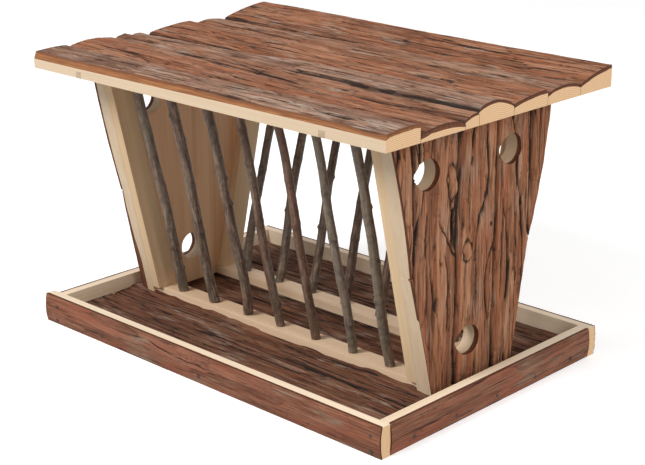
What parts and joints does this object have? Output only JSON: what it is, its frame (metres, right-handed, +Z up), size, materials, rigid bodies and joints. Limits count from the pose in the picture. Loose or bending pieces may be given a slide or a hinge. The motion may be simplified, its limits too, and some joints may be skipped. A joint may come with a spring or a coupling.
{
  "type": "hay rack feeder",
  "caption": "Hay rack of bark-faced end walls and two rows of sticks over a shallow bark tray, under a flat lift-off roof of bark slabs.",
  "frame": {"origin": "middle of the footprint, on the ground", "axes": "+X along the length of the tray, to the right as seen from the front; -Y towards the front row of sticks; +Z up"},
  "size_m": [0.48, 0.33, 0.3007],
  "materials": {
    "bark_slab": "rough fibrous bark outside, sawn pale wood inside",
    "planed_wood": "planed softwood, unvarnished",
    "stick": "natural hazel bark, satin",
    "nail": "dull steel wire nail"
  },
  "bodies": {
    "rack": {"left_wall_slab_1": "bark_slab", "left_wall_slab_2": "bark_slab", "left_wall_slab_3": "bark_slab", "left_wall_slab_4": "bark_slab", "left_wall_slab_5": "bark_slab", "right_wall_slab_1": "bark_slab", "right_wall_slab_2": "bark_slab", "right_wall_slab_3": "bark_slab", "right_wall_slab_4": "bark_slab", "right_wall_slab_5": "bark_slab", "floor_slab_1": "bark_slab", "floor_slab_2": "bark_slab", "floor_slab_3": "bark_slab", "floor_slab_4": "bark_slab", "floor_slab_5": "bark_slab", "front_border": "bark_slab", "back_border": "bark_slab", "left_border": "bark_slab", "right_border": "bark_slab", "left_front_batten": "planed_wood", "left_back_batten": "planed_wood", "right_front_batten": "planed_wood", "right_back_batten": "planed_wood", "front_bottom_rail": "planed_wood", "back_bottom_rail": "planed_wood", "front_top_rail": "planed_wood", "back_top_rail": "planed_wood", "front_stick_1": "stick", "front_stick_2": "stick", "front_stick_3": "stick", "front_stick_4": "stick", "front_stick_5": "stick", "front_stick_6": "stick", "front_stick_7": "stick", "back_stick_1": "stick", "back_stick_2": "stick", "back_stick_3": "stick", "back_stick_4": "stick", "back_stick_5": "stick", "back_stick_6": "stick", "back_stick_7": "stick", "batten_nails": "nail", "floor_nails": "nail", "front_border_nails": "nail", "back_border_nails": "nail", "left_border_nails": "nail", "right_border_nails": "nail"},
    "roof": {"roof_slab_1": "bark_slab", "roof_slab_2": "bark_slab", "roof_slab_3": "bark_slab", "roof_slab_4": "bark_slab", "roof_slab_5": "bark_slab", "roof_slab_6": "bark_slab", "roof_slab_7": "bark_slab", "roof_batten_left": "planed_wood", "roof_batten_right": "planed_wood", "roof_cleat_front": "planed_wood", "roof_cleat_back": "planed_wood", "roof_cleat_nails": "nail"}
  },
  "joints": [
    {"name": "roof_lift", "type": "slide", "parent": "rack", "child": "roof", "axis": [0, 0, 1], "range_m": [0, 0.12]}
  ]
}
